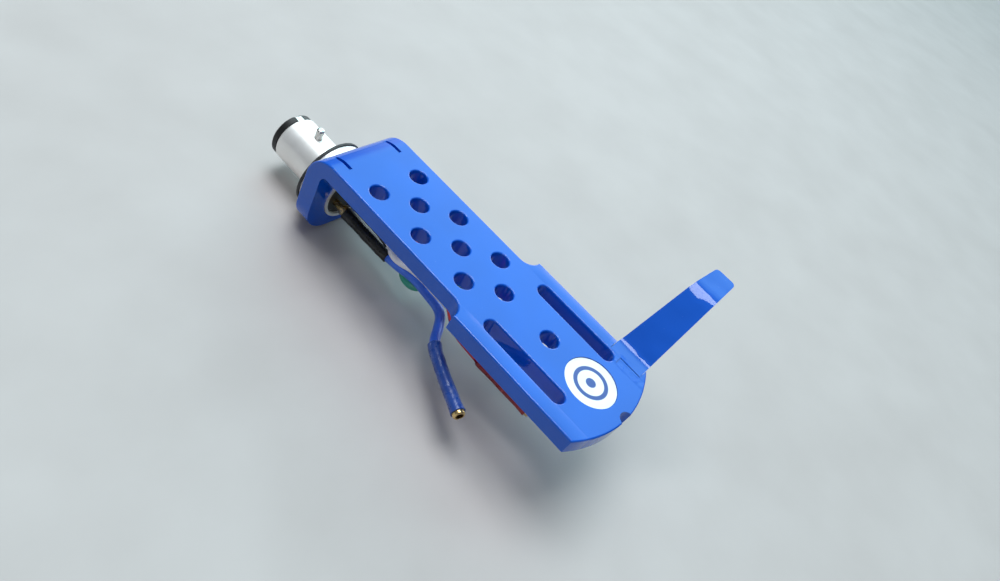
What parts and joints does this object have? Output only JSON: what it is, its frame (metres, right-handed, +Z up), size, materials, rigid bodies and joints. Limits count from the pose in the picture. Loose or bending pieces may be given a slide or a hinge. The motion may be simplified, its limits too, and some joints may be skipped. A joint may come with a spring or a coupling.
{
  "type": "turntable headshell",
  "caption": "Perforated cast headshell for a turntable tonearm, with bayonet plug, side finger lift, slotted cartridge seat and coloured leads.",
  "frame": {"origin": "on the axis of the bayonet plug, in the plane of the gasket's outer face, which seats against the tonearm", "axes": "+Y along the plug into the tonearm, -Y towards the nose, +X towards the finger lift, +Z up, away from the record"},
  "size_m": [0.041, 0.0697, 0.0258],
  "materials": {
    "blue_paint": "gloss paint",
    "satin_nickel": "satin plated",
    "gasket_rubber": "matte",
    "black_plastic": "matte",
    "gold_plate": "plated",
    "white_enamel": "gloss",
    "black_shrink": "satin",
    "blue_insulation": "satin",
    "blue_shrink": "satin",
    "white_insulation": "satin",
    "white_shrink": "satin",
    "green_insulation": "satin",
    "green_shrink": "satin",
    "red_insulation": "satin",
    "red_shrink": "satin"
  },
  "bodies": {
    "root": {"headshell_body": "blue_paint", "finger_lift": "blue_paint", "bayonet_tube": "satin_nickel", "locating_pin": "satin_nickel", "rubber_gasket": "gasket_rubber", "front_insulator": "black_plastic", "rear_insulator": "black_plastic", "contact_pin_1": "gold_plate", "contact_pin_2": "gold_plate", "contact_pin_3": "gold_plate", "contact_pin_4": "gold_plate", "blue_wire": "blue_insulation", "rear_blue_clip": "gold_plate", "rear_blue_sleeve": "black_shrink", "front_blue_clip": "gold_plate", "front_blue_sleeve": "blue_shrink", "white_wire": "white_insulation", "rear_white_clip": "gold_plate", "rear_white_sleeve": "black_shrink", "front_white_clip": "gold_plate", "front_white_sleeve": "white_shrink", "green_wire": "green_insulation", "rear_green_clip": "gold_plate", "rear_green_sleeve": "black_shrink", "front_green_clip": "gold_plate", "front_green_sleeve": "green_shrink", "red_wire": "red_insulation", "rear_red_clip": "gold_plate", "rear_red_sleeve": "black_shrink", "front_red_clip": "gold_plate", "front_red_sleeve": "red_shrink", "badge_disc": "white_enamel"}
  },
  "joints": []
}
